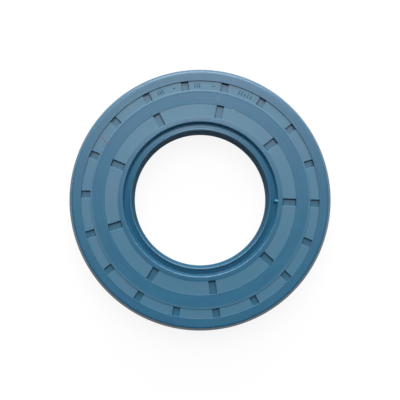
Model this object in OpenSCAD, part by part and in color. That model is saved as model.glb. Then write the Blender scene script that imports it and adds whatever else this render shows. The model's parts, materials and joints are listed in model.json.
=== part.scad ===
// Rotary shaft oil seal: a rubber body moulded over a pressed steel ring, with a
// spring-loaded sealing lip and a dust lip. The axis is Z, the end of the sealing
// lip stands on z = 0, and the air-side face is on top.

/* [Seats] */
// Diameter of the shaft that the lips run on
shaft_d = 45; // [40:0.5:52]
// Diameter of the housing bore that takes the outer band
housing_d = 85; // [80:0.5:100]
// Width from the end of the sealing lip to the air-side face
overall_w = 10; // [9.4:0.1:12]
// Width of the outer band, measured from the air-side face
band_w = 7; // [6:0.1:8.5]

/* [Outer band] */
// Height of the lead-in chamfer on the oil side
lead_in_h = 1.2; // [0.4:0.1:1.8]
// Radial depth of the lead-in chamfer
lead_in_w = 0.5; // [0.2:0.05:0.8]
// Height of the taper at the air-side edge, bevel included
taper_h = 1.6; // [1:0.1:2.4]
// Radial depth of that taper
taper_w = 0.85; // [0.5:0.05:1.1]
// Width and height of the bevel between the taper and the face
bevel_w = 0.3; // [0.1:0.05:0.5]

/* [Air-side face] */
// Radial width of the raised rim, taper and bevel included
rim_w = 3.95; // [3.4:0.05:4.4]
// Radial width of the recess that holds the outer windows
recess_w = 2.95; // [2:0.05:3.6]
// Depth of that recess below the rim
recess_depth = 0.35; // [0.2:0.05:0.6]
// Drop from the rim to the land between the two window rings
land_drop = 0.2; // [0.05:0.05:0.3]
// Radial width of the ring that holds the inner windows
pad_w = 4.3; // [3.5:0.05:5.5]
// Drop from the land to that ring
pad_drop = 0.06; // [0.02:0.02:0.2]
// Radial width of the collar round the mouth
collar_w = 1.7; // [1:0.1:2.2]

/* [Mould windows] */
// Number of windows in the outer recess
outer_windows = 18; // [6:1:24]
// Number of windows in the inner ring
inner_windows = 9; // [3:1:12]
// Angle from the X axis at which the two rings of windows line up
window_turn = 37.8; // [0:0.1:360]
// Width of each window across its radius
window_w = 2.3; // [1:0.1:3]

/* [Steel ring] */
// Thickness of the pressed sheet
steel_t = 1.2; // [0.8:0.05:1.5]
// Radius inside the bend
bend_r = 0.6; // [0.2:0.05:1]
// Rubber over the flange, measured from the rim
face_cover = 1.2; // [0.9:0.05:1.5]
// Rubber under the flange
under_cover = 1.2; // [0.6:0.05:1.4]
// Rubber outside the cylinder
outer_cover = 1.3; // [1:0.05:1.5]
// Rubber inside the cylinder
inner_cover = 0.8; // [0.4:0.05:1.2]
// Rubber past the end of the cylinder
end_cover = 1; // [0.4:0.1:1.5]
// Radial distance from the shaft to the inner edge of the flange
flange_gap = 3.7; // [3.4:0.05:4.1]

/* [Sealing lip] */
// Amount by which the free lip is smaller than the shaft, in diameter
lip_squeeze = 1.5; // [0.8:0.1:2.2]
// Height of the sealing edge above the end of the lip
lip_h = 2.4; // [2.1:0.05:2.8]
// Width of the band at the sealing edge
lip_land = 0.2; // [0.1:0.02:0.4]
// Angle of the air side of the lip from the axis
air_angle = 24; // [20:1:30]
// Angle of the oil side of the lip from the axis
oil_angle = 45; // [40:1:50]
// Radial distance from the shaft to the wall between the lips
throat_gap = 1; // [0.8:0.05:1.2]
// Thickness of the flexing neck of the lip
neck_t = 1.3; // [1:0.05:1.6]

/* [Dust lip] */
// Amount by which the dust lip is smaller than the shaft, in diameter
dust_squeeze = 0.2; // [0:0.05:0.4]
// Drop from the rim to the tip of the dust lip
dust_drop = 0.7; // [0.3:0.05:1]
// Width of the band at the tip
dust_land = 0.3; // [0.1:0.05:0.6]
// Thickness of the tip
dust_tip_t = 0.2; // [0.15:0.05:0.5]
// Radial distance from the shaft to the mouth of the groove behind the dust lip
mouth_gap = 2.5; // [2.4:0.05:3]
// Depth of that groove below the rim
groove_depth = 1.6; // [1.2:0.05:2.4]
// Radial distance that the outer wall of the groove leans in
groove_lean = 0.5; // [0.4:0.05:0.8]
// Width of the floor of the groove
groove_floor = 0.3; // [0.2:0.05:0.4]

/* [Garter spring] */
// Outer diameter of the coil
coil_d = 2.2; // [1.8:0.05:2.4]
// Diameter of the wire
wire_d = 0.4; // [0.25:0.05:0.5]
// Rubber between the sealing edge and the spring
spring_wall = 1.35; // [1.1:0.05:1.6]
// Distance that the spring sits behind the sealing edge, towards the air side
spring_shift = 0.7; // [0.4:0.05:1]
// Clearance between the coil and its seat
seat_clearance = 0.05; // [0.02:0.01:0.1]
// Height of the mouth of the seat, as a part of its diameter
seat_mouth = 0.78; // [0.6:0.02:0.9]
// Distance that the end of the lip covers the spring, past its middle
hook_w = 0.6; // [0.4:0.05:0.8]

/* [Rounding] */
// Radius of the moulded inner corners
corner_r = 0.8; // [0.3:0.05:1.2]
// Radius of the moulded edges
edge_r = 0.25; // [0.1:0.05:0.4]

/* [Hidden] */

$fn = 120;
arc_steps = 4;
through = 1;

shaft_r = shaft_d / 2;
band_r = housing_d / 2;

// Heights of the outer band and of the levels of the air-side face
face_z = overall_w;
band_z = face_z - band_w;
recess_z = face_z - recess_depth;
land_z = face_z - land_drop;
pad_z = land_z - pad_drop;

// Radii of the air-side face, from the rim in to the mouth
rim_r = band_r - rim_w;
recess_r = rim_r - recess_w;
mouth_r = shaft_r + mouth_gap;
collar_r = mouth_r + collar_w;
pad_r = collar_r + pad_w;

// Steel ring
flange_r = shaft_r + flange_gap;
flange_z = face_z - face_cover;
cylinder_r = band_r - outer_cover;
cylinder_z = band_z + end_cover;

// Oil side of the rubber
under_z = flange_z - steel_t - under_cover;
pocket_r = cylinder_r - steel_t - inner_cover;
pocket_lean = 0.3;

// Sealing lip
lip_r = shaft_r - lip_squeeze / 2;
throat_r = shaft_r + throat_gap;
neck_r = throat_r + neck_t;
land_top_z = lip_h + lip_land / 2;
land_low_z = lip_h - lip_land / 2;
throat_z = land_top_z + (throat_r - lip_r) / tan(air_angle);
nose_r = lip_r + land_low_z * tan(oil_angle);

// Garter spring and its seat
coil_r = coil_d / 2;
seat_r = coil_r + seat_clearance;
spring_r = lip_r + spring_wall + coil_r;
spring_z = lip_h + spring_shift;
hook_r = spring_r + hook_w;
mouth_half = seat_r * seat_mouth;

// Dust lip and the groove behind it
dust_r = shaft_r - dust_squeeze / 2;
dust_z = face_z - dust_drop;
groove_z = face_z - groove_depth;
groove_r = mouth_r - groove_lean;
dust_root_z = groove_z - dust_tip_t;

// Point at a distance from b on the way to a
function along(b, a, distance) = b + (a - b) * distance / norm(a - b);

// Points of the arc that rounds corner b between its neighbours a and c
function arc_points(a, b, c, radius) =
    let (
        u = (a - b) / norm(a - b),
        v = (c - b) / norm(c - b),
        half = acos(u * v) / 2,
        reach = min(radius / tan(half), norm(a - b) * 0.45, norm(c - b) * 0.45),
        centre = b + (u + v) / norm(u + v) * reach / cos(half),
        from = along(b, a, reach) - centre,
        to = along(b, c, reach) - centre,
        start = atan2(from.y, from.x),
        turn = atan2(from.x * to.y - from.y * to.x, from * to)
    )
    [for (i = [0:arc_steps])
        centre + norm(from) * [cos(start + turn * i / arc_steps), sin(start + turn * i / arc_steps)]];

// Outline whose corners are given as [radius from the axis, height, rounding]
function rounded(corners) =
    let (count = len(corners), spot = [for (c = corners) [c[0], c[1]]])
    [for (i = [0:count - 1])
        each corners[i][2] > 0
            ? arc_points(spot[(i + count - 1) % count], spot[i], spot[(i + 1) % count], corners[i][2])
            : [spot[i]]];

// Half section of the steel ring: a flange bent over into a short cylinder
module steel_section()
    polygon(rounded([
        [cylinder_r - steel_t, cylinder_z, 0],
        [cylinder_r, cylinder_z, 0],
        [cylinder_r, flange_z, bend_r + steel_t],
        [flange_r, flange_z, 0],
        [flange_r, flange_z - steel_t, 0],
        [cylinder_r - steel_t, flange_z - steel_t, bend_r],
    ]));

// Half section of the rubber, with neither the steel nor the seat of the spring cut out
module rubber_section()
    polygon(rounded([
        // Outer band
        [band_r - lead_in_w, band_z, edge_r],
        [band_r, band_z + lead_in_h, edge_r],
        [band_r, face_z - taper_h, edge_r],
        [band_r - taper_w, face_z - bevel_w, edge_r],
        [band_r - taper_w - bevel_w, face_z, edge_r],
        // Air-side face
        [rim_r, face_z, 0],
        [rim_r, recess_z, 0],
        [recess_r, recess_z, 0],
        [recess_r, land_z, 0],
        [pad_r, land_z, 0],
        [pad_r, pad_z, 0],
        [collar_r, pad_z, 0],
        [collar_r, land_z, 0],
        [mouth_r, land_z, edge_r],
        // Dust lip
        [groove_r, groove_z, edge_r],
        [groove_r - groove_floor, groove_z, edge_r],
        [dust_r + dust_tip_t, dust_z, 0],
        [dust_r, dust_z - dust_tip_t / 2, 0],
        [dust_r, dust_z - dust_tip_t / 2 - dust_land, 0],
        [throat_r, dust_root_z, edge_r],
        // Sealing lip
        [throat_r, throat_z, edge_r],
        [lip_r, land_top_z, 0],
        [lip_r, land_low_z, 0],
        [nose_r, 0, edge_r],
        [hook_r, 0, edge_r],
        [hook_r, spring_z - mouth_half, edge_r],
        [spring_r, spring_z - mouth_half, 0],
        [spring_r, spring_z + mouth_half, 0],
        [neck_r, spring_z + mouth_half, edge_r],
        // Underside of the flange and inside of the band
        [neck_r, under_z, corner_r],
        [pocket_r, under_z, corner_r],
        [pocket_r + pocket_lean, band_z, edge_r],
    ]));

module seat_section()
    translate([spring_r, spring_z]) circle(r = seat_r);

// Pockets that the locating pins of the mould leave in the rubber, down to the steel
module windows(count, inner_r, outer_r)
    translate([0, 0, flange_z])
        linear_extrude(height = face_cover + through)
            intersection() {
                difference() {
                    circle(r = outer_r);
                    circle(r = inner_r);
                }
                for (i = [0:count - 1])
                    rotate(window_turn + i * 360 / count)
                        translate([0, -window_w / 2])
                            square([outer_r + through, window_w]);
            }

module rubber_body()
    color("steelblue")
        difference() {
            rotate_extrude()
                difference() {
                    rubber_section();
                    steel_section();
                    seat_section();
                }
            windows(outer_windows, recess_r, rim_r);
            windows(inner_windows, collar_r, pad_r);
        }

module steel_ring()
    color("slategray")
        rotate_extrude()
            steel_section();

// The turns of the coil lie side by side, so together they are a ring of tube
module garter_spring()
    color("silver")
        rotate_extrude()
            translate([spring_r, spring_z])
                difference() {
                    circle(r = coil_r);
                    circle(r = coil_r - wire_d);
                }

rubber_body();
steel_ring();
garter_spring();
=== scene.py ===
"""Dresses the rubber shaft seal: the moulded rubber, its steel ring and its garter spring."""

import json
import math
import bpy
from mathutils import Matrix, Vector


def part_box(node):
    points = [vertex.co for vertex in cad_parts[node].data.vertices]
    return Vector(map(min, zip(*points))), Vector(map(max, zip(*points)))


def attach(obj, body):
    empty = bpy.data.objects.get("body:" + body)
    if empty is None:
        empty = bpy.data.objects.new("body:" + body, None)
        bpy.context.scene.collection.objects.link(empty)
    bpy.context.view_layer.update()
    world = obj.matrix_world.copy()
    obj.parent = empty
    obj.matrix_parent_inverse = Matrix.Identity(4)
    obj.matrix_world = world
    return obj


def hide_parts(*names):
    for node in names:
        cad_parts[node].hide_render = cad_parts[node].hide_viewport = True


bl_info = {
    "name": "Shaft seal",
    "version": (1, 0, 0),
    "blender": (4, 5, 0),
    "location": "View3D > Sidebar > Shaft seal",
    "description": "Builds a rubber shaft seal with two rings of moulding windows",
    "category": "Object",
}

from collections import namedtuple

import bmesh
import bpy
from bpy.props import FloatProperty, FloatVectorProperty, IntProperty, PointerProperty
from mathutils import Matrix, Vector

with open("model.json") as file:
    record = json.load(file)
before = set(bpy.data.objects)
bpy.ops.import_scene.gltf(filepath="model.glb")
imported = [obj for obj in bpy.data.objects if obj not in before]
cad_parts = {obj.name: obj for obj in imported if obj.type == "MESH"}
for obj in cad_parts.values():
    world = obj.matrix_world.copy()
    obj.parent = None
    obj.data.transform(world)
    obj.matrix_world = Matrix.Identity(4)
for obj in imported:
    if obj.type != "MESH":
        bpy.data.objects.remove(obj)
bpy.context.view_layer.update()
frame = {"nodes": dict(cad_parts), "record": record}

MM = 0.001
FULL_TURN = 2 * math.pi
MOUNTS = {mount["name"]: mount for mount in frame["record"]["mounts"]}
FACE_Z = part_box("rubber_body")[1].z
FLANGE_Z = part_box("steel_ring")[1].z
SPRING_LOW, SPRING_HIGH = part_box("garter_spring")

# Rounding of the moulded edges, and of the inner corners of the oil side
EDGE_ROUND, CORNER_ROUND = 0.25 * MM, 0.8 * MM
# Largest angle between neighbouring points of a rounding
ARC_STEP = math.radians(18)
# Angle between two faces from which their edge is shaded as sharp
SHARP_ANGLE = math.radians(32)
BLACK, WHITE = (0, 0, 0, 1), (1, 1, 1, 1)

# Finishes of the rubber, in the order of the material slots
TURNED, MATTE, LAND, LIP, EDGE, CONE, THROAT, BAND, MOULDED, FLASH = range(10)

# A corner of a half section: radius, height, rounding, finish of the stretch after it, and the
# kind of pocket that the moulding windows sink from it
Corner = namedtuple("Corner", "r z rounding finish pocket", defaults=(None,))
RECESS_POCKET, PAD_POCKET, STEEL_FACE = "recess", "pad", "steel"

# A column of the turned skin: its window sector, its offset from the window's middle, and its
# share of the way from the window's edge to the middle of the rubber beside it
Column = namedtuple("Column", "sector offset share")


def mount_radius(name):
    """Radius of a round mount, in metres."""
    return MOUNTS[name]["dims"]["r_mm"] * MM


def mount_height(name):
    """Height of a mount, in metres."""
    return MOUNTS[name]["pos_m"][2]


def from_screen(red, green, blue):
    """Scene-linear colour of a screen colour given in parts of 255."""
    def linear(part):
        """A part of the colour, by the standard curve of screens."""
        share = part / 255
        return share / 12.92 if share <= 0.04045 else ((share + 0.055) / 1.055) ** 2.4
    return linear(red), linear(green), linear(blue)


def length(name, default, description):
    """A length property, in metres."""
    return FloatProperty(name=name, default=default, min=0, precision=5, unit="LENGTH",
                         description=description)


def colour(name, default, description):
    """A colour property."""
    return FloatVectorProperty(name=name, default=default, size=3, min=0, max=1, subtype="COLOR",
                               description=description)


def angle(name, degrees, description):
    """An angle property."""
    return FloatProperty(name=name, default=math.radians(degrees), subtype="ANGLE", description=description)


class SealSizes(bpy.types.PropertyGroup):
    """Sizes of the seal, which agree with its solids."""
    band_r: length("Band radius", mount_radius("housing_band"), "Outer radius, which the housing holds")
    lip_r: length("Lip radius", mount_radius("sealing_lip"), "Radius of the free sealing edge")
    lip_z: length("Lip height", mount_height("sealing_lip"), "Height of the middle of the sealing edge")
    lip_land: length("Lip land", 0.2 * MM, "Width of the narrow band at the sealing edge")
    dust_r: length("Dust lip radius", mount_radius("dust_lip"), "Radius of the tip of the dust lip")
    face_z: length("Face height", FACE_Z, "Height of the rim of the air-side face")
    band_z: length("Band foot", mount_height("shoulder_face"), "Height of the oil-side end of the band")
    flange_z: length("Flange height", FLANGE_Z, "Height of the top of the steel flange")
    steel_t: length("Steel thickness", 1.2 * MM, "Thickness of the pressed sheet")
    steel_mouth: length("Steel mouth", 26.2 * MM, "Inner radius of the steel flange")
    rim_r: length("Rim", 38.55 * MM, "Inner radius of the raised rim")
    recess_r: length("Recess", 35.6 * MM, "Inner radius of the recess of the outer windows")
    pad_r: length("Pad", 31 * MM, "Outer radius of the ring of the inner windows")
    collar_r: length("Collar", 26.7 * MM, "Outer radius of the collar round the mouth")
    mouth_r: length("Mouth", 25 * MM, "Radius of the mouth of the face")
    throat_r: length("Throat", 23.5 * MM, "Radius of the wall between the lips")
    groove_depth: length("Groove depth", 1.6 * MM, "Depth of the groove behind the dust lip")
    recess_depth: length("Recess depth", 0.35 * MM, "Depth of the recess below the rim")
    land_drop: length("Land drop", 0.2 * MM, "Drop from the rim to the land")
    pad_drop: length("Pad drop", 0.06 * MM, "Drop from the land to the inner ring")
    window_w: length("Window width", 2.3 * MM, "Width of a moulding window")
    window_edge: length("Window edge", 0.12 * MM, "Round at the edge of a window")
    windows: IntProperty(name="Windows", default=18, min=4, description="Windows in the outer recess")
    window_turn: angle("Window turn", 37.8, "Angle at which the two rings of windows line up")
    wire_d: length("Wire", 0.4 * MM, "Diameter of the spring wire")
    seat_gap: length("Seat gap", 0.05 * MM, "Clearance between the spring and its seat")


class SealColours(bpy.types.PropertyGroup):
    """Colours of the seal."""
    rubber: colour("Rubber", from_screen(36, 97, 129), "Blue nitrile rubber")
    teal: colour("Teal", from_screen(33, 99, 127), "Greener patches of the rubber")
    violet: colour("Violet", from_screen(42, 94, 130), "Redder patches of the rubber")
    smudge: colour("Smudge", from_screen(26, 103, 131), "Teal smudges on the land between the windows")
    bloom: colour("Bloom", from_screen(84, 108, 134), "Greyish patches of the matte rubber")
    flash: colour("Flash", from_screen(42, 128, 150), "Thin flash that lets light through")
    matte: colour("Matte rubber", from_screen(60, 110, 136), "Rubber with the blasted finish of the mould")
    primer: colour("Primer", from_screen(34, 93, 121), "Primer on the steel ring")
    wire: colour("Wire", (0.55, 0.55, 0.54), "Drawn spring wire")
    smear: colour("Smear", from_screen(88, 70, 84), "Reddish-brown smear")
    chalk: colour("Chalk", from_screen(190, 214, 224), "Pale scratch and speck")
    floor: colour("Floor", (0.1, 0.1, 0.1), "Share of light that the pale floor gives back")


class SealStage(bpy.types.PropertyGroup):
    """Camera and light."""
    camera_distance: length("Camera distance", 230 * MM, "Distance from the lens to the face")
    camera_tilt: angle("Camera tilt", 2.9, "Angle of the view from the axis, towards the near side")
    camera_lean: angle("Camera lean", 1.0, "Angle of the view from the axis, towards the left")
    key_power: FloatProperty(name="Key light", default=6.1, min=0, unit="POWER",
                             description="Soft lamp on the far side of the seal")
    key_width: length("Key width", 900 * MM, "Width of the soft lamp")
    key_depth: length("Key depth", 590 * MM, "Depth of the soft lamp")
    key_distance: length("Key distance", 800 * MM, "Distance of the soft lamp")
    key_height: angle("Key height", 60, "Angle of the soft lamp above the floor")
    sky: FloatProperty(name="Sky", default=0.07, min=0, description="Strength of the light from all round")
    tent: FloatProperty(name="Light tent", default=0.55, min=0,
                        description="Strength of the light tent over the far side")
    window: FloatProperty(name="Low window", default=6.0, min=0,
                          description="Strength that the low part of the tent adds")


def rounded(corners):
    """Outline points from corners, with each rounding as an arc."""
    largest_share = 0.45  # of a side, for one of its two roundings
    points = []
    for index, corner in enumerate(corners):
        if corner.rounding == 0:
            points.append(corner)
            continue
        spot = Vector((corner.r, corner.z))
        before = Vector((corners[index - 1].r, corners[index - 1].z)) - spot
        following = corners[(index + 1) % len(corners)]
        after = Vector((following.r, following.z)) - spot
        half = before.angle(after) / 2
        room = min(before.length * largest_share, after.length * largest_share)
        reach = min(corner.rounding / math.tan(half), room)
        radius = reach * math.tan(half)
        inward = (before.normalized() + after.normalized()).normalized()
        centre = spot + inward * reach / math.cos(half)
        start = spot + before.normalized() * reach - centre
        turn = start.angle_signed(spot + after.normalized() * reach - centre)
        first = math.atan2(start.y, start.x)
        steps = max(2, math.ceil(abs(turn) / ARC_STEP))
        for step in range(steps + 1):
            at = first - turn * step / steps
            r = centre.x + radius * math.cos(at)
            z = centre.y + radius * math.sin(at)
            points.append(corner._replace(r=r, z=z))
    return points


class WindowRings:
    """Where the moulding windows lie, and how far the rubber drops in them."""

    # Places across the rounded edge of a window, as parts of its radius
    EDGE_SHARES = (0.08, 0.3, 0.62, 1)
    # Run of a window's wall for each unit of its height
    DRAFT = 0.04
    # Columns from the edge of a window to the middle of the rubber beside it
    PLAIN_COLUMNS = 7
    # Run of the slope from the inner ring up to the collar for each unit of its height
    COLLAR_SLOPE = 6
    # Run of the wall from the recess up to the land
    RECESS_WALL = 0.05 * MM
    # Share of the run of a window's wall from which a point counts as its foot
    NEARLY = 0.99

    def __init__(self, sizes):
        self.sizes = sizes
        self.half = sizes.window_w / 2
        self.edge = sizes.window_edge
        self.land_z = sizes.face_z - sizes.land_drop
        self.pad_z = self.land_z - sizes.pad_drop
        self.run = (self.pad_z - sizes.flange_z) * self.DRAFT
        self.pad_high = sizes.pad_r - sizes.pad_drop
        self.pad_low = sizes.collar_r + self.COLLAR_SLOPE * sizes.pad_drop
        self.recess_low = sizes.recess_r + self.RECESS_WALL
        self.sector = FULL_TURN / sizes.windows
        self.columns = self.all_columns()

    def all_columns(self):
        """Columns round the whole turn, close together at the walls of the windows."""
        outside = self.half + self.edge
        side = [(self.half / 2, 0), (self.half - self.run, 0), (self.half, 0)]
        side += [(self.half + self.edge * share, 0) for share in self.EDGE_SHARES]
        side += [(outside, step / self.PLAIN_COLUMNS) for step in range(1, self.PLAIN_COLUMNS)]
        mirrored = [(-offset, share) for offset, share in reversed(side)]
        across = [(-outside, 1)] + mirrored + [(0, 0)] + side
        return [Column(sector, offset, share)
                for sector in range(self.sizes.windows) for offset, share in across]

    def angle(self, column, r):
        """Angle of a column at a radius: by a window, columns run parallel to its sides."""
        near = min(max(r, self.sizes.collar_r), self.sizes.rim_r)
        edge = math.asin(column.offset / near)
        middle = math.copysign(self.sector / 2, column.offset)
        return self.sizes.window_turn + column.sector * self.sector + edge + (middle - edge) * column.share

    def inside(self, column, r):
        """Distance inside the outline of a window, or a negative distance outside it."""
        if column.share > 0:
            return -self.half
        from_side = self.half - abs(column.offset)
        if r > (self.sizes.recess_r + self.sizes.pad_r) / 2:
            return from_side
        if column.sector % 2 == 0:
            return min(from_side, self.sizes.pad_r - r, r - self.sizes.collar_r)
        return -self.half

    def drop(self, inside):
        """Depth of a window's wall at a distance inside its outline."""
        if inside <= -self.edge:
            return 0
        if inside <= 0:
            return self.edge - math.sqrt(max(0, self.edge ** 2 - (inside + self.edge) ** 2))
        return self.edge + inside / self.DRAFT

    def bare(self, column, point):
        """Whether a point of an outline lies on the bare steel of a window."""
        return bool(point.pocket) and self.inside(column, point.r) >= self.run * self.NEARLY

    def height(self, column, point):
        """Height of an outline's point in a column, lowered inside a window."""
        if point.pocket in (RECESS_POCKET, PAD_POCKET):
            return max(self.sizes.flange_z, point.z - self.drop(self.inside(column, point.r)))
        return point.z


def spring_place():
    """Radius and height of the middle of the garter spring, and the radius of its coil."""
    coil_r = (SPRING_HIGH.z - SPRING_LOW.z) / 2
    ring_r = (SPRING_HIGH.x - SPRING_LOW.x) / 2 - coil_r
    return ring_r, SPRING_LOW.z + coil_r, coil_r


def face_corners(sizes, rings):
    """Corners of the outer band and of the air-side face, from the foot of the band to the mouth."""
    # Lead-in chamfer at the foot of the band
    lead_in_w, lead_in_h = 0.5 * MM, 1.2 * MM
    # Depths below the face at which the taper and the bevel start
    taper_h, bevel_h = 1.6 * MM, 0.34 * MM
    # Distances in from the band at which the bevel starts, the face starts and its sheen ends
    bevel_w, face_w, sheen_w = 0.82 * MM, 1.22 * MM, 1.62 * MM
    # Bead along the outer edge of the land: distances in at which it starts, peaks and ends
    bead_start, bead_peak, bead_end, bead_h = 0.06 * MM, 0.5 * MM, 0.9 * MM, 0.025 * MM
    # Low step on the collar: distances from the mouth to its foot and its top
    step_foot, step_top, step_h = 1.5 * MM, 1.35 * MM, 0.03 * MM
    # Round edge of the mouth, which is the crown of the collar
    crown_w, crown_h, mouth_h = 0.12 * MM, 0.06 * MM, 0.2 * MM
    recess_z = sizes.face_z - sizes.recess_depth
    edges = [sizes.window_edge * share for share in rings.EDGE_SHARES]
    corners = [
        Corner(sizes.band_r - lead_in_w, sizes.band_z, EDGE_ROUND, BAND),
        Corner(sizes.band_r, sizes.band_z + lead_in_h, 0.4 * MM, BAND),
        Corner(sizes.band_r, sizes.face_z - taper_h, 0.8 * MM, CONE),
        Corner(sizes.band_r - bevel_w, sizes.face_z - bevel_h, 0.15 * MM, EDGE),
        Corner(sizes.band_r - face_w, sizes.face_z, 0.45 * MM, LIP),
        Corner(sizes.band_r - sheen_w, sizes.face_z, 0, TURNED),
        Corner(sizes.rim_r, sizes.face_z, 0.03 * MM, MATTE),
        Corner(sizes.rim_r, recess_z, 0, MATTE, RECESS_POCKET),
        Corner(rings.recess_low, recess_z, 0, MATTE, RECESS_POCKET),
        Corner(sizes.recess_r - bead_start, rings.land_z, 0.08 * MM, MATTE),
        Corner(sizes.recess_r - bead_peak, rings.land_z + bead_h, 0.2 * MM, LAND),
        Corner(sizes.recess_r - bead_end, rings.land_z, 0.3 * MM, LAND),
    ]
    corners += [Corner(sizes.pad_r + edge, rings.land_z, 0, LAND, PAD_POCKET) for edge in reversed(edges)]
    corners += [
        Corner(sizes.pad_r, rings.land_z, 0, LAND, PAD_POCKET),
        Corner(rings.pad_high, rings.pad_z, 0, MATTE, PAD_POCKET),
        Corner(rings.pad_low, rings.pad_z, 0, MATTE, PAD_POCKET),
        Corner(sizes.collar_r, rings.land_z, 0, TURNED, PAD_POCKET),
    ]
    corners += [Corner(sizes.collar_r - edge, rings.land_z, 0, TURNED, PAD_POCKET) for edge in edges]
    corners += [
        Corner(sizes.mouth_r + step_foot, rings.land_z, 0, TURNED),
        Corner(sizes.mouth_r + step_top, rings.land_z + step_h, 0.05 * MM, TURNED),
        Corner(sizes.mouth_r + crown_w, rings.land_z + crown_h, 0.3 * MM, EDGE),
        Corner(sizes.mouth_r, rings.land_z - mouth_h, 0.3 * MM, LIP),
    ]
    return corners


def lip_corners(sizes):
    """Corners of the dust lip, the throat and the sealing lip, from the groove down to the end."""
    # Lean of the groove's outer wall, and how far the groove dips below its plain depth there
    groove_lean, groove_dip = 0.5 * MM, 0.1 * MM
    # Foot and bend of the dust lip's cone: distances in from the groove, and heights above it
    foot_w, foot_h, bend_w, bend_h = 0.35 * MM, 0.2 * MM, 1.1 * MM, 0.45 * MM
    # Dust lip: its drop below the face, the width and height of its tip's round, its narrow band,
    # and the depth of its underside below the groove
    dust_drop, tip_w, tip_h, dust_land, under_drop = 0.7 * MM, 0.27 * MM, 0.1 * MM, 0.3 * MM, 0.2 * MM
    # Angle from the axis of the sealing lip's air side
    air_angle = math.radians(24)
    groove_z = sizes.face_z - sizes.groove_depth
    groove_r = sizes.mouth_r - groove_lean
    dust_z = sizes.face_z - dust_drop
    lip_top = sizes.lip_z + sizes.lip_land / 2
    lip_foot = sizes.lip_z - sizes.lip_land / 2
    throat_z = lip_top + (sizes.throat_r - sizes.lip_r) / math.tan(air_angle)
    return [
        Corner(groove_r, groove_z - groove_dip, 0.15 * MM, LIP),
        Corner(groove_r - foot_w, groove_z + foot_h, 0.1 * MM, CONE),
        Corner(groove_r - bend_w, groove_z + bend_h, 0.4 * MM, CONE),
        Corner(sizes.dust_r + tip_w, dust_z, 0.12 * MM, LIP),
        Corner(sizes.dust_r, dust_z - tip_h, 0.06 * MM, LIP),
        Corner(sizes.dust_r, dust_z - tip_h - dust_land, 0.1 * MM, THROAT),
        Corner(sizes.throat_r, groove_z - under_drop, EDGE_ROUND, THROAT),
        Corner(sizes.throat_r, throat_z, EDGE_ROUND, THROAT),
        Corner(sizes.lip_r, lip_top, 0.06 * MM, THROAT),
        Corner(sizes.lip_r, lip_foot, 0.06 * MM, MOULDED),
        Corner(sizes.lip_r + lip_foot, 0, EDGE_ROUND, MOULDED),
    ]


def oil_side_corners(sizes):
    """Corners of the oil side: the end of the lip, the spring's seat, the neck and the pocket."""
    # Thickness of the flexing neck, and how far the end of the lip covers the spring
    neck_t, hook_w = 1.3 * MM, 0.6 * MM
    # Thickness of the band with the steel in it, and the lean of its inner wall
    wall_t, wall_lean = 3.3 * MM, 0.3 * MM
    # Height of the mouth of the spring's seat as a share of its diameter, and the seat's sides
    seat_mouth, seat_sides = 0.78, 14
    spring_r, spring_z, coil_r = spring_place()
    seat_r = coil_r + sizes.seat_gap
    mouth = seat_r * seat_mouth
    mouth_angle = math.asin(mouth / seat_r)
    neck_r = sizes.throat_r + neck_t
    # The rubber under the flange is as thick as the steel
    under_z = sizes.flange_z - 2 * sizes.steel_t
    pocket_r = sizes.band_r - wall_t
    corners = [
        Corner(spring_r + hook_w, 0, EDGE_ROUND, MOULDED),
        Corner(spring_r + hook_w, spring_z - mouth, 0, MOULDED),
    ]
    for side in range(1, seat_sides):
        at = -mouth_angle - (FULL_TURN - 2 * mouth_angle) * side / seat_sides
        corners.append(Corner(spring_r + seat_r * math.cos(at), spring_z + seat_r * math.sin(at), 0, MOULDED))
    corners += [
        Corner(neck_r, spring_z + mouth, 0, MOULDED),
        Corner(neck_r, under_z, CORNER_ROUND, MOULDED),
        Corner(pocket_r, under_z, CORNER_ROUND, MOULDED),
        Corner(pocket_r + wall_lean, sizes.band_z, EDGE_ROUND, BAND),
    ]
    return corners


def cavity_corners(sizes, rings):
    """Corners of the space that the steel fills, with points at the edges of the windows."""
    # Rubber outside the steel cylinder and past its end, and the two radii of the bend
    outer_cover, end_cover, bend_inside, bend_outside = 1.3 * MM, 1 * MM, 0.6 * MM, 1.8 * MM
    outer_r = sizes.band_r - outer_cover
    foot_z = sizes.band_z + end_cover
    under_z = sizes.flange_z - sizes.steel_t
    land_r = (sizes.recess_r + sizes.pad_r) / 2

    def window_edge(r):
        """A corner where the steel may lie bare."""
        return Corner(r, sizes.flange_z, 0, MOULDED, STEEL_FACE)

    return [
        Corner(outer_r - sizes.steel_t, foot_z, 0, MOULDED),
        Corner(outer_r, foot_z, 0, MOULDED),
        Corner(outer_r, sizes.flange_z, bend_outside, MOULDED),
        window_edge(sizes.rim_r),
        window_edge(rings.recess_low),
        Corner(land_r, sizes.flange_z, 0, MOULDED),
        window_edge(rings.pad_high),
        window_edge(rings.pad_low),
        Corner(sizes.steel_mouth, sizes.flange_z, 0, MOULDED),
        Corner(sizes.steel_mouth, under_z, 0, MOULDED),
        Corner(outer_r - sizes.steel_t, under_z, bend_inside, MOULDED),
    ]


def turn_outline(mesh, rings, outline):
    """Turns a closed outline about the axis, and leaves it open over the bare steel."""
    def ring_vert(column, point):
        """A corner of the skin: a point of the outline, carried round to a column."""
        at = rings.angle(column, point.r)
        return mesh.verts.new((point.r * math.cos(at), point.r * math.sin(at), rings.height(column, point)))

    columns = rings.columns
    rows = [[ring_vert(column, point) for column in columns] for point in outline]
    for index, point in enumerate(outline):
        following = (index + 1) % len(outline)
        for side, column in enumerate(columns):
            beyond = (side + 1) % len(columns)
            open_to_steel = all(rings.bare(columns[at], outline[row])
                                for at in (side, beyond) for row in (index, following))
            if open_to_steel:
                continue
            loop = (rows[index][side], rows[index][beyond], rows[following][beyond], rows[following][side])
            mesh.faces.new(loop).material_index = point.finish


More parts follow.
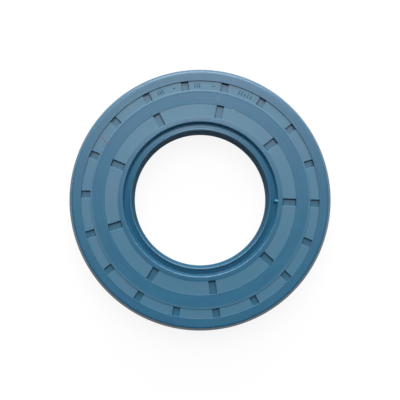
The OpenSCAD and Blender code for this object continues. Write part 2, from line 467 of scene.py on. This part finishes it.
# Strokes of the size mark, as degrees clockwise from the far side: groups of ticks and two dashes
TICKS = (338.2, 339.4, 340.6, 357.2, 358.4, 359.6, 19.8, 21.4, 23.0, 24.6, 26.2)
DASHES = (346.6, 6.6)
TICK_LENGTH, DASH_LENGTH, STROKE_WIDTH = 1.5 * MM, 0.8 * MM, 0.32 * MM
# Height of a stroke, how deep it is rooted, and the sides of each of its round ends
STROKE_HEIGHT, STROKE_ROOT, STROKE_END_SIDES = 0.2 * MM, 0.03 * MM, 5
# Round back of a stroke: shares of its half width, inwards, and of its height
STROKE_BACK = ((0, 0.1), (0.12, 0.5), (0.4, 0.85), (0.75, 1))


def add_raised_mark(mesh, sizes, degrees, stroke_length, tilt=0):
    """Adds a raised stroke with a round back and round ends to the floor of the recess."""
    floor_z = sizes.face_z - sizes.recess_depth
    middle_r = (sizes.rim_r + sizes.recess_r) / 2
    half_width = STROKE_WIDTH / 2
    on_the_ring = Matrix.Rotation(-math.radians(degrees), 4, "Z")
    place = on_the_ring @ Matrix.Translation((0, middle_r, 0)) @ Matrix.Rotation(tilt, 4, "Z")

    def stroke_loop(inset, z):
        """One level of the stroke, as a loop of corners round its two ends."""
        radius = half_width - inset
        reach = stroke_length / 2 - half_width
        loop = []
        for end, start in ((1, 0), (-1, math.pi)):
            for side in range(STROKE_END_SIDES + 1):
                swing = math.pi * side / STROKE_END_SIDES + start
                spot = Vector((radius * math.cos(swing), end * reach + radius * math.sin(swing), z))
                loop.append(mesh.verts.new(place @ spot))
        return loop

    loops = [stroke_loop(0, floor_z - STROKE_ROOT)]
    loops += [stroke_loop(half_width * inset, floor_z + STROKE_HEIGHT * rise) for inset, rise in STROKE_BACK]
    made = [mesh.faces.new(loops[0][::-1]), mesh.faces.new(loops[-1])]
    for low, high in zip(loops, loops[1:]):
        count = len(low)
        made += [mesh.faces.new((low[i], low[(i + 1) % count], high[(i + 1) % count], high[i]))
                 for i in range(count)]
    for face in made:
        face.material_index = LIP


def add_size_marks(mesh, sizes):
    """Adds the row of raised strokes between the outer windows."""
    for degrees in TICKS:
        add_raised_mark(mesh, sizes, degrees, TICK_LENGTH)
    for degrees in DASHES:
        add_raised_mark(mesh, sizes, degrees, DASH_LENGTH, tilt=math.pi / 2)


def add_flash_nib(mesh, sizes):
    """Adds the nib of flash that hangs over the groove behind the dust lip."""
    half_axes = (0.85 * MM, 0.5 * MM, 0.24 * MM)
    # Its place in from the mouth and below the face, its angle round the axis and its droop
    inward, drop, at, droop = 0.45 * MM, 0.42 * MM, math.radians(-1.6), -0.3
    # Height of the waves that make it uneven, and their steps from one corner to the next
    wave, step_y, step_z = 0.02 * MM, 1.7, 2.3
    middle = Vector((sizes.mouth_r - inward, 0, sizes.face_z - drop))
    place = Matrix.Rotation(at, 4, "Z") @ Matrix.Translation(middle) @ Matrix.Rotation(droop, 4, "Y")
    ball = bmesh.ops.create_icosphere(mesh, subdivisions=3, radius=1,
                                      matrix=place @ Matrix.Diagonal((*half_axes, 1)))
    for index, vert in enumerate(ball["verts"]):
        vert.co += Vector((0, math.sin(index * step_y), math.cos(index * step_z))) * wave
    for face in {face for vert in ball["verts"] for face in vert.link_faces}:
        face.material_index = FLASH


def mesh_object(name, mesh, materials):
    """Links an object made from a bmesh, with smooth faces and sharp edges kept."""
    data = bpy.data.meshes.new(name)
    mesh.to_mesh(data)
    mesh.free()
    for material in materials:
        data.materials.append(material)
    data.shade_smooth()
    data.set_sharp_from_angle(angle=SHARP_ANGLE)
    made = bpy.data.objects.new(name, data)
    bpy.context.scene.collection.objects.link(made)
    shading = made.modifiers.new("Even shading", "WEIGHTED_NORMAL")
    shading.keep_sharp = True
    shading.weight = 80  # above 50, large faces count for more
    return made


def node(tree, kind, inputs=None, **options):
    """Adds a shader node: an input given as a socket is linked, and any other is its value."""
    made = tree.nodes.new(kind)
    for option, value in options.items():
        setattr(made, option, value)
    for key, value in (inputs or {}).items():
        if isinstance(value, bpy.types.NodeSocket):
            tree.links.new(value, made.inputs[key])
        else:
            made.inputs[key].default_value = value
    return made


def maths(tree, operation, *values, **options):
    """Number that an operation gives on up to three numbers."""
    made = node(tree, "ShaderNodeMath", dict(enumerate(values)), operation=operation, **options)
    return made.outputs["Value"]


def vector_maths(tree, operation, inputs, output="Vector"):
    """Vector, or the number of another output, that an operation gives on vectors."""
    return node(tree, "ShaderNodeVectorMath", inputs, operation=operation).outputs[output]


def blank_material(name):
    """A new material, its node tree, its shader and the position in millimetres."""
    material = bpy.data.materials.new(name)
    material.use_nodes = True
    tree = material.node_tree
    tree.nodes.clear()
    shader = node(tree, "ShaderNodeBsdfPrincipled")
    node(tree, "ShaderNodeOutputMaterial", {"Surface": shader.outputs["BSDF"]})
    place = node(tree, "ShaderNodeTexCoord").outputs["Object"]
    position = vector_maths(tree, "SCALE", {0: place, "Scale": 1 / MM})
    return material, tree, shader, position


def noise(tree, vector, scale, detail=3.0, roughness=0.5):
    """Noise from 0 to 1 at a scale in turns per millimetre."""
    return node(tree, "ShaderNodeTexNoise", {"Vector": vector, "Scale": scale, "Detail": detail,
                                             "Roughness": roughness}).outputs["Fac"]


def spread(tree, value, low, high, new_low=0.0, new_high=1.0):
    """A value stretched from one range to another, and kept inside it."""
    return node(tree, "ShaderNodeMapRange", {"Value": value, "From Min": low, "From Max": high,
                                             "To Min": new_low, "To Max": new_high}).outputs["Result"]


# Places of the colours among the sockets of a Mix node
FIRST_COLOUR, SECOND_COLOUR, MIXED_COLOUR = 6, 7, 2


def mixed(tree, share, first, second, blend="MIX"):
    """Mixture of two colours."""
    made = node(tree, "ShaderNodeMix", {"Factor": share, FIRST_COLOUR: first, SECOND_COLOUR: second},
                data_type="RGBA", blend_type=blend)
    return made.outputs[MIXED_COLOUR]


def opaque(rgb):
    """Colour with full alpha."""
    return (*rgb, 1)


def on_the_face(tree, position):
    """A position without its height."""
    return vector_maths(tree, "MULTIPLY", {0: position, 1: (1, 1, 0)})


def round_the_axis(tree, position, across, along):
    """Coordinates that change fast with the radius and slowly round the ring, as tool marks do."""
    flat = on_the_face(tree, position)
    radius = vector_maths(tree, "LENGTH", {0: flat}, "Value")
    up = node(tree, "ShaderNodeCombineXYZ", {"Z": maths(tree, "MULTIPLY", radius, across)})
    slow = vector_maths(tree, "SCALE", {0: flat, "Scale": along})
    return vector_maths(tree, "ADD", {0: slow, 1: up.outputs["Vector"]})


# A mark on the rubber: its two ends and width in millimetres across the face, its colour and strength
Mark = namedtuple("Mark", "start end width colour strength")
MARKS = (
    Mark((-32.8, 19.6), (-31.2, 19.9), 0.7, "smear", 0.2),
    Mark((-31.8, 19.5), (-31.0, 18.6), 0.45, "smear", 0.48),
    Mark((-31.0, 18.6), (-29.9, 18.0), 0.5, "smear", 0.6),
    Mark((-29.9, 18.0), (-28.7, 17.4), 0.45, "smear", 0.52),
    Mark((27.8, -3.2), (31.2, -3.6), 0.6, "smear", 0.18),
    Mark((33.8, -15.0), (35.2, -15.6), 0.45, "smear", 0.18),
    Mark((5.9, 33.0), (5.7, 31.7), 0.16, "chalk", 0.12),
    Mark((10.6, 28.9), (10.7, 28.9), 0.2, "chalk", 0.75),
)


def stroke_distance(tree, position, mark):
    """Distance from the straight line between the two ends of a mark, in millimetres."""
    start, end = Vector((*mark.start, 0)), Vector((*mark.end, 0))
    along = end - start
    offset = vector_maths(tree, "SUBTRACT", {0: on_the_face(tree, position), 1: start})
    share = vector_maths(tree, "DOT_PRODUCT", {0: offset, 1: along / along.length_squared}, "Value")
    held = maths(tree, "MULTIPLY", share, 1.0, use_clamp=True)
    nearest = vector_maths(tree, "SCALE", {0: along, "Scale": held})
    return vector_maths(tree, "DISTANCE", {0: offset, 1: nearest}, "Value")


def with_marks(tree, position, base, colours):
    """The base colour with the marks that the face has picked up."""
    full_w, faded_w = 0.7, 1.4  # in widths of the mark, its ragged edge included
    ragged = noise(tree, position, 2.2, 4)
    for mark in MARKS:
        wander = maths(tree, "MULTIPLY_ADD", ragged, mark.width, stroke_distance(tree, position, mark))
        share = spread(tree, wander, mark.width * full_w, mark.width * faded_w, mark.strength, 0)
        base = mixed(tree, share, base, opaque(getattr(colours, mark.colour)))
    return base


# A finish of the rubber: its roughness, the strength of its grain and of its tool marks, its gloss,
# its painted shade (a darkening of its base colour that stands in for the shade in the groove and
# the bore), the strength of its smudges, and whether it is blasted and whether it shows the marks
Finish = namedtuple("Finish", "name roughness grain tool_marks gloss shade smudged blasted marked",
                    defaults=(0.46, 0.0, 0.15, False, False))
# The finishes in the order of the material slots, up to the flash
RUBBER_FINISHES = (
    Finish("turned_rubber", 0.37, 0.15, 1.0, marked=True),
    Finish("matte_rubber", 0.42, 0.5, 0.25, blasted=True, marked=True),
    Finish("land_rubber", 0.38, 0.15, 0.8, gloss=0.4, smudged=0.4, marked=True),
    Finish("lip_rubber", 0.32, 0.1, 0.5),
    Finish("edge_rubber", 0.24, 0.05, 0.3, gloss=1.0),
    # Painted shade: the dust lip's cone and the throat get a darker base colour for the shade that falls on
    # them in the groove and the bore
    Finish("cone_rubber", 0.34, 0.1, 0.4, gloss=0.55, shade=0.12),
    Finish("throat_rubber", 0.5, 0.1, 0.4, gloss=0.13, shade=0.06),
    Finish("band_rubber", 0.45, 0.25, 0.4),
    Finish("moulded_rubber", 0.5, 0.35, 0.3),
)
# Values of the smudges' noise at which they start and are full
SMUDGE_START, SMUDGE_FULL = 0.42, 0.62
# Height of the grain and of the tool marks at full strength
RELIEF = 0.02 * MM
# Refractive index of nitrile rubber
RUBBER_IOR = 1.57


def blasted_colour(tree, smudges, colours):
    """Colour of the matte rubber, with its greyish bloom."""
    bloom = spread(tree, smudges, 0.5, 0.68, 0, 0.4)
    return mixed(tree, bloom, opaque(colours.matte), opaque(colours.bloom))


def plain_colour(tree, position, finish, smudges, fine_patches, streaks, colours):
    """Colour of the smooth rubber, with soft patches, teal smudges and dark tool marks."""
    patches = spread(tree, noise(tree, position, 0.11), 0.35, 0.65)
    base = mixed(tree, patches, opaque(colours.teal), opaque(colours.violet))
    base = mixed(tree, 0.5, base, opaque(colours.rubber))
    smudge = spread(tree, smudges, SMUDGE_START, SMUDGE_FULL, 0, finish.smudged)
    base = mixed(tree, smudge, base, opaque(colours.smudge))
    haze = spread(tree, fine_patches, 0.3, 0.7, 0, 0.12)
    base = mixed(tree, haze, base, opaque(colours.chalk), "SOFT_LIGHT")
    return mixed(tree, spread(tree, streaks, 0.3, 0.7, 0, 0.22 * finish.tool_marks), base, BLACK)


def rubber_material(finish, colours):
    """Blue nitrile rubber, with tool marks round the axis or a fine matte grain."""
    material, tree, shader, position = blank_material(finish.name)
    fine_patches = noise(tree, position, 0.45, 4)
    smudges = noise(tree, round_the_axis(tree, position, 0.35, 0.09), 1, 4, 0.6)
    streaks = noise(tree, round_the_axis(tree, position, 3.2, 0.05), 1, 5, 0.65)
    if finish.blasted:
        base = blasted_colour(tree, smudges, colours)
    else:
        base = plain_colour(tree, position, finish, smudges, fine_patches, streaks, colours)
    # Painted shade: the base colour is mixed towards black, standing in for the shade on the dust lip's cone
    # and in the throat
    if finish.shade:
        base = mixed(tree, finish.shade, base, BLACK)
    if finish.marked:
        base = with_marks(tree, position, base, colours)
    tree.links.new(base, shader.inputs["Base Color"])
    uneven = maths(tree, "ADD", streaks, fine_patches)
    rough = spread(tree, uneven, 0.6, 1.4, finish.roughness - 0.05, finish.roughness + 0.05)
    dulled = spread(tree, smudges, SMUDGE_START, SMUDGE_FULL, 0, 0.15 * finish.smudged)
    tree.links.new(maths(tree, "ADD", rough, dulled), shader.inputs["Roughness"])
    shader.inputs["IOR"].default_value = RUBBER_IOR
    shader.inputs["Specular IOR Level"].default_value = finish.gloss
    grain = noise(tree, position, 5.5, 4, 0.6)
    relief = node(tree, "ShaderNodeBump", {"Height": grain, "Strength": finish.grain, "Distance": RELIEF})
    turned = node(tree, "ShaderNodeBump", {"Height": streaks, "Strength": 0.5 * finish.tool_marks,
                                           "Distance": RELIEF, "Normal": relief.outputs["Normal"]})
    tree.links.new(turned.outputs["Normal"], shader.inputs["Normal"])
    return material


def rubber_materials(colours):
    """The finishes of the rubber, in the order of the material slots."""
    return [rubber_material(finish, colours) for finish in RUBBER_FINISHES] + [flash_material(colours)]


def flash_material(colours):
    """Thin flash, paler and greener than the thick rubber."""
    material, tree, shader, position = blank_material("flash_rubber")
    cloud = noise(tree, position, 1.5)
    base = mixed(tree, spread(tree, cloud, 0.35, 0.65), opaque(colours.flash), opaque(colours.teal))
    tree.links.new(base, shader.inputs["Base Color"])
    shader.inputs["Roughness"].default_value = 0.28
    shader.inputs["Specular IOR Level"].default_value = 0.5
    return material


def primer_material(colours):
    """Matte blue-grey primer on the pressed steel."""
    material, tree, shader, position = blank_material("steel_primer")
    cloud = noise(tree, position, 0.5, 4)
    base = mixed(tree, spread(tree, cloud, 0.3, 0.7, 0, 0.35), opaque(colours.primer), opaque(colours.rubber))
    tree.links.new(base, shader.inputs["Base Color"])
    tree.links.new(spread(tree, cloud, 0.3, 0.7, 0.34, 0.42), shader.inputs["Roughness"])
    shader.inputs["Specular IOR Level"].default_value = 0.6
    speckle = noise(tree, position, 7)
    relief = node(tree, "ShaderNodeBump", {"Height": speckle, "Strength": 0.4, "Distance": RELIEF})
    tree.links.new(relief.outputs["Normal"], shader.inputs["Normal"])
    return material


def wire_material(colours):
    """Drawn steel wire with a faint brown film between the turns."""
    material, tree, shader, position = blank_material("spring_wire")
    film = noise(tree, position, 0.8, 4)
    base = mixed(tree, spread(tree, film, 0.4, 0.75, 0, 0.3), opaque(colours.wire), opaque(colours.smear))
    tree.links.new(base, shader.inputs["Base Color"])
    shader.inputs["Metallic"].default_value = 1
    tree.links.new(spread(tree, film, 0.3, 0.7, 0.28, 0.45), shader.inputs["Roughness"])
    drawn = noise(tree, position, 9)
    relief = node(tree, "ShaderNodeBump", {"Height": drawn, "Strength": 0.2, "Distance": 0.01 * MM})
    tree.links.new(relief.outputs["Normal"], shader.inputs["Normal"])
    return material


def wound_wire(sizes):
    """Mesh of the spring's wire, wound round the ring in one closed helix."""
    turn_steps, wire_sides = 14, 6
    pitch = 1.005  # of neighbouring turns on the inside of the ring, in wires
    ring_r, ring_z, coil_r = spring_place()
    wire_r = sizes.wire_d / 2
    winding_r = coil_r - wire_r
    turns = int(FULL_TURN * (ring_r - winding_r) / (sizes.wire_d * pitch))
    up = Vector((0, 0, 1))
    mesh = bmesh.new()
    loops = []
    for index in range(turns * turn_steps):
        swing = FULL_TURN * index / turn_steps
        at = FULL_TURN * index / (turns * turn_steps)
        outward = Vector((math.cos(at), math.sin(at), 0))
        onward = Vector((-math.sin(at), math.cos(at), 0))
        spoke = outward * math.cos(swing) + up * math.sin(swing)
        middle = outward * ring_r + up * ring_z + spoke * winding_r
        loop = []
        for side in range(wire_sides):
            bearing = FULL_TURN * side / wire_sides
            ray = spoke * math.cos(bearing) + onward * math.sin(bearing)
            loop.append(mesh.verts.new(middle + ray * wire_r))
        loops.append(loop)
    for index, loop in enumerate(loops):
        following = loops[(index + 1) % len(loops)]
        for side in range(wire_sides):
            beyond = (side + 1) % wire_sides
            mesh.faces.new((loop[side], loop[beyond], following[beyond], following[side]))
    bmesh.ops.recalc_face_normals(mesh, faces=mesh.faces)
    return mesh


class SEAL_OT_rubber(bpy.types.Operator):
    """Build the moulded rubber with its windows, lips and size marks"""
    bl_idname = "seal.rubber"
    bl_label = "Rubber body"

    def execute(self, context):
        sizes = context.scene.seal_sizes
        rings = WindowRings(sizes)
        outside = rounded(face_corners(sizes, rings) + lip_corners(sizes) + oil_side_corners(sizes))
        mesh = bmesh.new()
        turn_outline(mesh, rings, outside)
        turn_outline(mesh, rings, rounded(cavity_corners(sizes, rings)))
        bmesh.ops.remove_doubles(mesh, verts=mesh.verts, dist=1e-7)
        add_size_marks(mesh, sizes)
        add_flash_nib(mesh, sizes)
        bmesh.ops.recalc_face_normals(mesh, faces=mesh.faces)
        piece = mesh_object("rubber_seal", mesh, rubber_materials(context.scene.seal_colours))
        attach(piece, "root")
        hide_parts("rubber_body")
        return {"FINISHED"}


class SEAL_OT_spring(bpy.types.Operator):
    """Wind the garter spring"""
    bl_idname = "seal.spring"
    bl_label = "Garter spring"

    def execute(self, context):
        mesh = wound_wire(context.scene.seal_sizes)
        piece = mesh_object("wound_spring", mesh, [wire_material(context.scene.seal_colours)])
        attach(piece, "root")
        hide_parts("garter_spring")
        return {"FINISHED"}


class SEAL_OT_steel(bpy.types.Operator):
    """Prime the pressed steel ring"""
    bl_idname = "seal.steel"
    bl_label = "Steel ring"

    def execute(self, context):
        steel = frame["nodes"]["steel_ring"]
        steel.data.materials.clear()
        steel.data.materials.append(primer_material(context.scene.seal_colours))
        return {"FINISHED"}


class SEAL_OT_stage(bpy.types.Operator):
    """Set up the floor, the light and the camera"""
    bl_idname = "seal.stage"
    bl_label = "Stage"

    def execute(self, context):
        stage = context.scene.seal_stage
        make_floor(context.scene.seal_colours)
        make_sky(stage)
        make_key_light(stage)
        make_camera(context.scene.seal_sizes, stage)
        context.scene.view_settings.view_transform = "Standard"
        return {"FINISHED"}


def seen_ray(tree):
    """1 for rays that show the background: from the camera, or off gloss or through glass."""
    path = node(tree, "ShaderNodeLightPath").outputs
    either = maths(tree, "MAXIMUM", path["Is Camera Ray"], path["Is Glossy Ray"])
    return maths(tree, "MAXIMUM", either, path["Is Transmission Ray"])


def floor_material(colours):
    """Pale matte floor that keeps a faint shadow and shows as white."""
    material, tree, shader, _position = blank_material("pale_floor")
    shader.inputs["Base Color"].default_value = opaque(colours.floor)
    shader.inputs["Roughness"].default_value = 0.9
    shader.inputs["Specular IOR Level"].default_value = 0
    strength = spread(tree, seen_ray(tree), 0, 1, 0, 1 - colours.floor[0])
    glow = node(tree, "ShaderNodeEmission", {"Color": WHITE, "Strength": strength})
    both = node(tree, "ShaderNodeAddShader", {0: shader.outputs["BSDF"], 1: glow.outputs["Emission"]})
    output = next(made for made in tree.nodes if made.type == "OUTPUT_MATERIAL")
    tree.links.new(both.outputs["Shader"], output.inputs["Surface"])
    return material


def make_floor(colours):
    """Flat floor under the seal."""
    half_width = 1.5  # metres
    mesh = bmesh.new()
    bmesh.ops.create_grid(mesh, x_segments=8, y_segments=8, size=half_width)
    data = bpy.data.meshes.new("floor")
    mesh.to_mesh(data)
    mesh.free()
    data.materials.append(floor_material(colours))
    floor = bpy.data.objects.new("floor", data)
    bpy.context.scene.collection.objects.link(floor)


def make_sky(stage):
    """Weak light from all round and a light tent over the far side, which show as white behind the floor."""
    world = bpy.data.worlds.new("sky")
    bpy.context.scene.world = world
    world.use_nodes = True
    tree = world.node_tree
    tree.nodes.clear()
    direction = node(tree, "ShaderNodeTexCoord").outputs["Generated"]
    parts = node(tree, "ShaderNodeSeparateXYZ", {"Vector": direction}).outputs
    aside = maths(tree, "ABSOLUTE", parts["X"])
    # The tent grows from overhead towards the far side, and its low part is a window there
    tent = maths(tree, "MULTIPLY", spread(tree, parts["Y"], 0, 0.45), spread(tree, aside, 0.6, 1, 1, 0.6))
    low = maths(tree, "MULTIPLY", spread(tree, parts["Y"], 0.75, 0.95), spread(tree, aside, 0.4, 0.7, 1, 0))
    soft = maths(tree, "MULTIPLY_ADD", tent, stage.tent, stage.sky)
    lit = maths(tree, "MULTIPLY_ADD", low, stage.window, soft)
    path = node(tree, "ShaderNodeLightPath").outputs
    strength = node(tree, "ShaderNodeMix", {"Factor": path["Is Camera Ray"], "A": lit, "B": 1.0})
    light = node(tree, "ShaderNodeBackground", {"Color": WHITE, "Strength": strength.outputs["Result"]})
    node(tree, "ShaderNodeOutputWorld", {"Surface": light.outputs["Background"]})


def make_key_light(stage):
    """Soft lamp on the far side, above the seal."""
    lamp = bpy.data.lights.new("key", "AREA")
    lamp.shape = "ELLIPSE"
    lamp.size = stage.key_width
    lamp.size_y = stage.key_depth
    lamp.energy = stage.key_power
    key = bpy.data.objects.new("key", lamp)
    key.location = Vector((0, math.cos(stage.key_height), math.sin(stage.key_height))) * stage.key_distance
    key.rotation_euler = (-key.location).to_track_quat("-Z", "Y").to_euler()
    bpy.context.scene.collection.objects.link(key)


def make_camera(sizes, stage):
    """Camera above the face, placed so that the seal fills the frame as in the photograph."""
    # The photograph's frame, and the radius and the middle of the seal in it, in pixels
    frame_px, seal_r_px, seal_middle_px = 400, 130.8, (200.05, 200.15)
    # Depth below the face of the edge that is the seal's outline from above
    edge_drop = 1.3 * MM
    edge = Vector((0, 0, sizes.face_z - edge_drop))
    back = Vector((-math.tan(stage.camera_lean), -math.tan(stage.camera_tilt), 1)).normalized()
    right = Vector((0, 1, 0)).cross(back).normalized()
    turn = Matrix((right, back.cross(right), back)).transposed()
    place = edge + back * stage.camera_distance

    def seen(x, y):
        """Place of a point of the seal's edge in the view, for a lens of length 1."""
        local = turn.transposed() @ (edge + Vector((x, y, 0)) * sizes.band_r - place)
        return local.x / -local.z, local.y / -local.z

    left_x, right_x = seen(-1, 0)[0], seen(1, 0)[0]
    low_y, high_y = seen(0, -1)[1], seen(0, 1)[1]
    lens = seal_r_px / frame_px / ((right_x - left_x + high_y - low_y) / 4)
    data = bpy.data.cameras.new("camera")
    data.sensor_width = 36
    data.lens = lens * data.sensor_width
    data.shift_x = (left_x + right_x) / 2 * lens - (seal_middle_px[0] / frame_px - 0.5)
    data.shift_y = (low_y + high_y) / 2 * lens - (0.5 - seal_middle_px[1] / frame_px)
    data.clip_start = 0.01
    camera = bpy.data.objects.new("camera", data)
    camera.matrix_world = Matrix.Translation(place) @ turn.to_4x4()
    bpy.context.scene.collection.objects.link(camera)
    bpy.context.scene.camera = camera


class SEAL_PT_panel(bpy.types.Panel):
    """Builds the seal piece by piece"""
    bl_idname = "SEAL_PT_panel"
    bl_label = "Shaft seal"
    bl_space_type = "VIEW_3D"
    bl_region_type = "UI"
    bl_category = "Shaft seal"

    def draw(self, context):
        for group in ("seal_sizes", "seal_colours", "seal_stage"):
            settings = getattr(context.scene, group)
            for key in settings.__annotations__:
                self.layout.prop(settings, key)
        for operator in OPERATORS:
            self.layout.operator(operator.bl_idname)


OPERATORS = (SEAL_OT_rubber, SEAL_OT_spring, SEAL_OT_steel, SEAL_OT_stage)
CLASSES = (SealSizes, SealColours, SealStage, *OPERATORS, SEAL_PT_panel)


def register():
    """Registers the classes and hangs the property groups on the scene."""
    for item in CLASSES:
        bpy.utils.register_class(item)
    bpy.types.Scene.seal_sizes = PointerProperty(type=SealSizes)
    bpy.types.Scene.seal_colours = PointerProperty(type=SealColours)
    bpy.types.Scene.seal_stage = PointerProperty(type=SealStage)


def unregister():
    """Takes the property groups and the classes away again."""
    del bpy.types.Scene.seal_stage
    del bpy.types.Scene.seal_colours
    del bpy.types.Scene.seal_sizes
    for item in reversed(CLASSES):
        bpy.utils.unregister_class(item)


def main():
    """Builds every piece and the stage."""
    register()
    bpy.ops.seal.rubber()
    bpy.ops.seal.spring()
    bpy.ops.seal.steel()
    bpy.ops.seal.stage()


if __name__ == "__main__":
    main()
